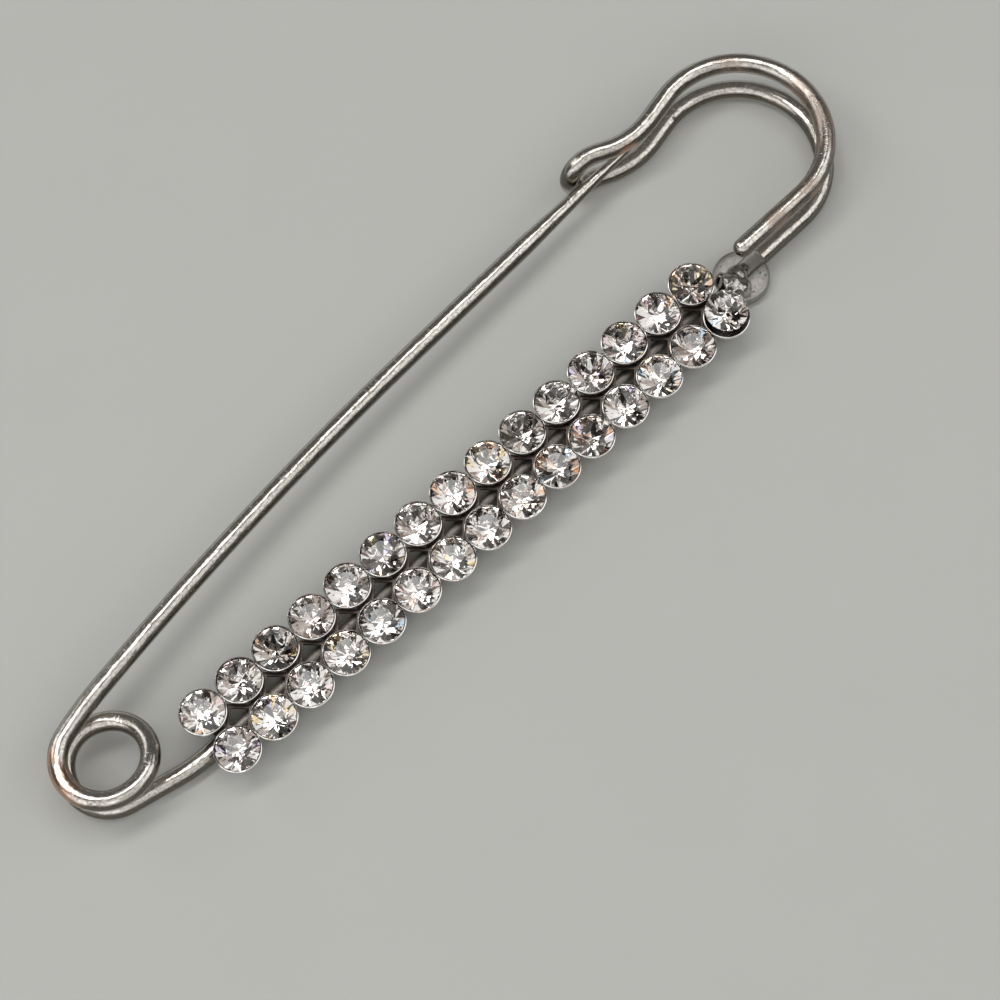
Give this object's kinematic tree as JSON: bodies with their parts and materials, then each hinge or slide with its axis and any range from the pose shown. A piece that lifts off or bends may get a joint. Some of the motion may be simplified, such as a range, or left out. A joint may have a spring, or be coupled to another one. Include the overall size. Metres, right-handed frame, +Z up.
{
  "type": "safety pin brooch",
  "caption": "Large bent-wire safety pin with a coil spring, a doubled crook that guards the point, and two rows of round cut stones in cups along the fixed arm.",
  "frame": {"origin": "centre of the bounding box, on the surface that the pin lies on", "axes": "+X along the strip of stones from the coil to the crook, +Y across it towards the pin arm, +Z up out of the surface"},
  "size_m": [0.0786, 0.0192, 0.0049],
  "materials": {
    "pin_wire": "bright plated wire with fine drawing lines and scratches, worn to a warm tint at the coil",
    "frame_metal": "bright plated wire and cups with grey solder",
    "clear_stone": "clear cut glass with a silvered back"
  },
  "bodies": {
    "frame": {"frame_with_cups": "frame_metal", "stone_left_1": "clear_stone", "stone_left_2": "clear_stone", "stone_left_3": "clear_stone", "stone_left_4": "clear_stone", "stone_left_5": "clear_stone", "stone_left_6": "clear_stone", "stone_left_7": "clear_stone", "stone_left_8": "clear_stone", "stone_left_9": "clear_stone", "stone_left_10": "clear_stone", "stone_left_11": "clear_stone", "stone_left_12": "clear_stone", "stone_left_13": "clear_stone", "stone_left_14": "clear_stone", "stone_left_15": "clear_stone", "stone_right_1": "clear_stone", "stone_right_2": "clear_stone", "stone_right_3": "clear_stone", "stone_right_4": "clear_stone", "stone_right_5": "clear_stone", "stone_right_6": "clear_stone", "stone_right_7": "clear_stone", "stone_right_8": "clear_stone", "stone_right_9": "clear_stone", "stone_right_10": "clear_stone", "stone_right_11": "clear_stone", "stone_right_12": "clear_stone", "stone_right_13": "clear_stone", "stone_right_14": "clear_stone", "stone_right_15": "clear_stone"},
    "arm": {"pin_arm": "pin_wire"}
  },
  "joints": [
    {"name": "arm_hinge", "type": "hinge", "parent": "frame", "child": "arm", "pos_m": [-0.03527, -0.00197, 0.00391], "axis": [0, 0, 1], "range_deg": [-8, 0], "stiffness_Nm_per_rad": 0.7}
  ]
}
